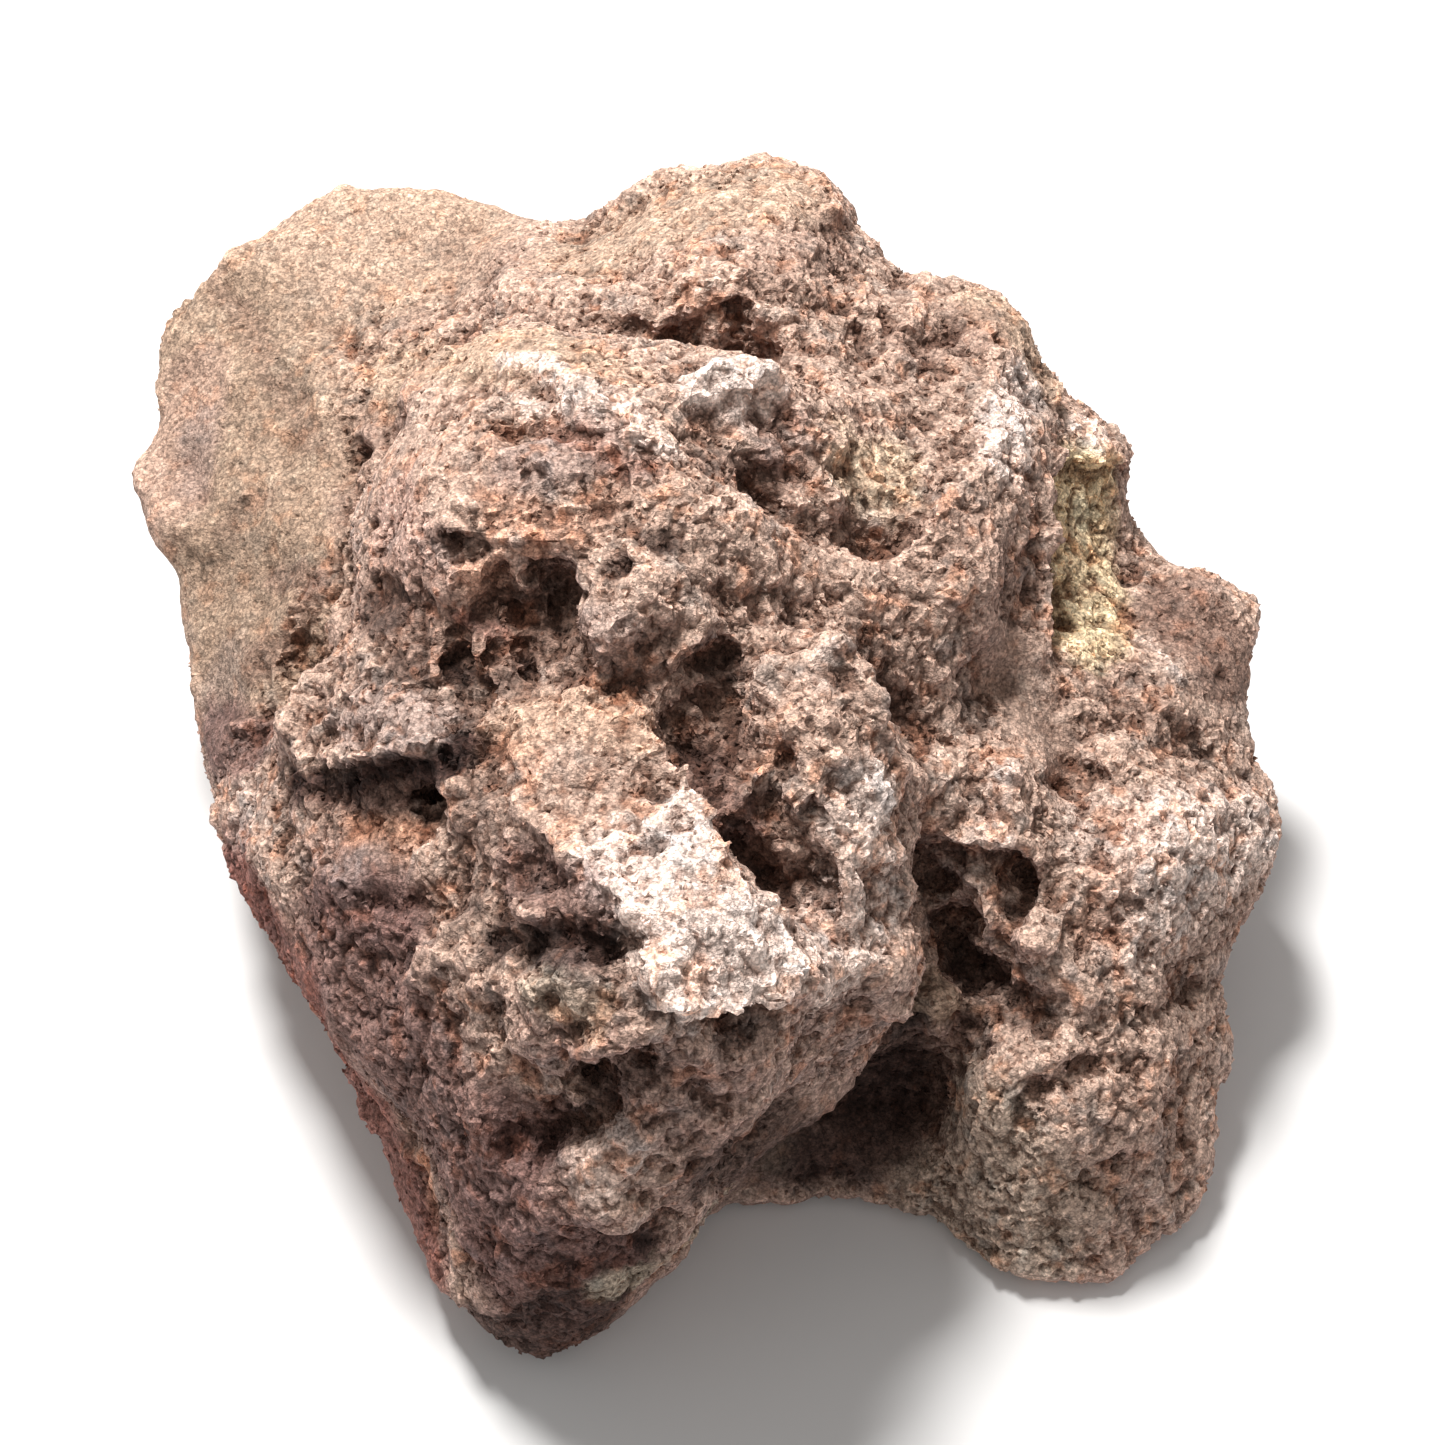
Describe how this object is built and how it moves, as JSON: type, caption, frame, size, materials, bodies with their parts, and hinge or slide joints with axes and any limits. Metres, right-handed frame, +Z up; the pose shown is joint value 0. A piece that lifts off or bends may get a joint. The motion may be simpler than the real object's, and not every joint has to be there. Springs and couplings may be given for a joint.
{
  "type": "lava rock",
  "caption": "Loose lump of porous volcanic rock with a high pitted crown, a spur that reaches down to a foot, a low plate behind and a rounded lobe at the side.",
  "frame": {"origin": "on the surface that the rock lies on, under the middle of its bounding box", "axes": "+Z up, +X to the right and +Y to the back, seen from the side that the spur points to"},
  "size_m": [0.157, 0.1564, 0.0908],
  "materials": {
    "lava": "dry, rough and full of small bubbles; warm dusty tan on top, purple-brown and dark in the hollows, with pale worn ridges and rust stains"
  },
  "bodies": {
    "root": {"lava_rock": "lava"}
  },
  "joints": []
}
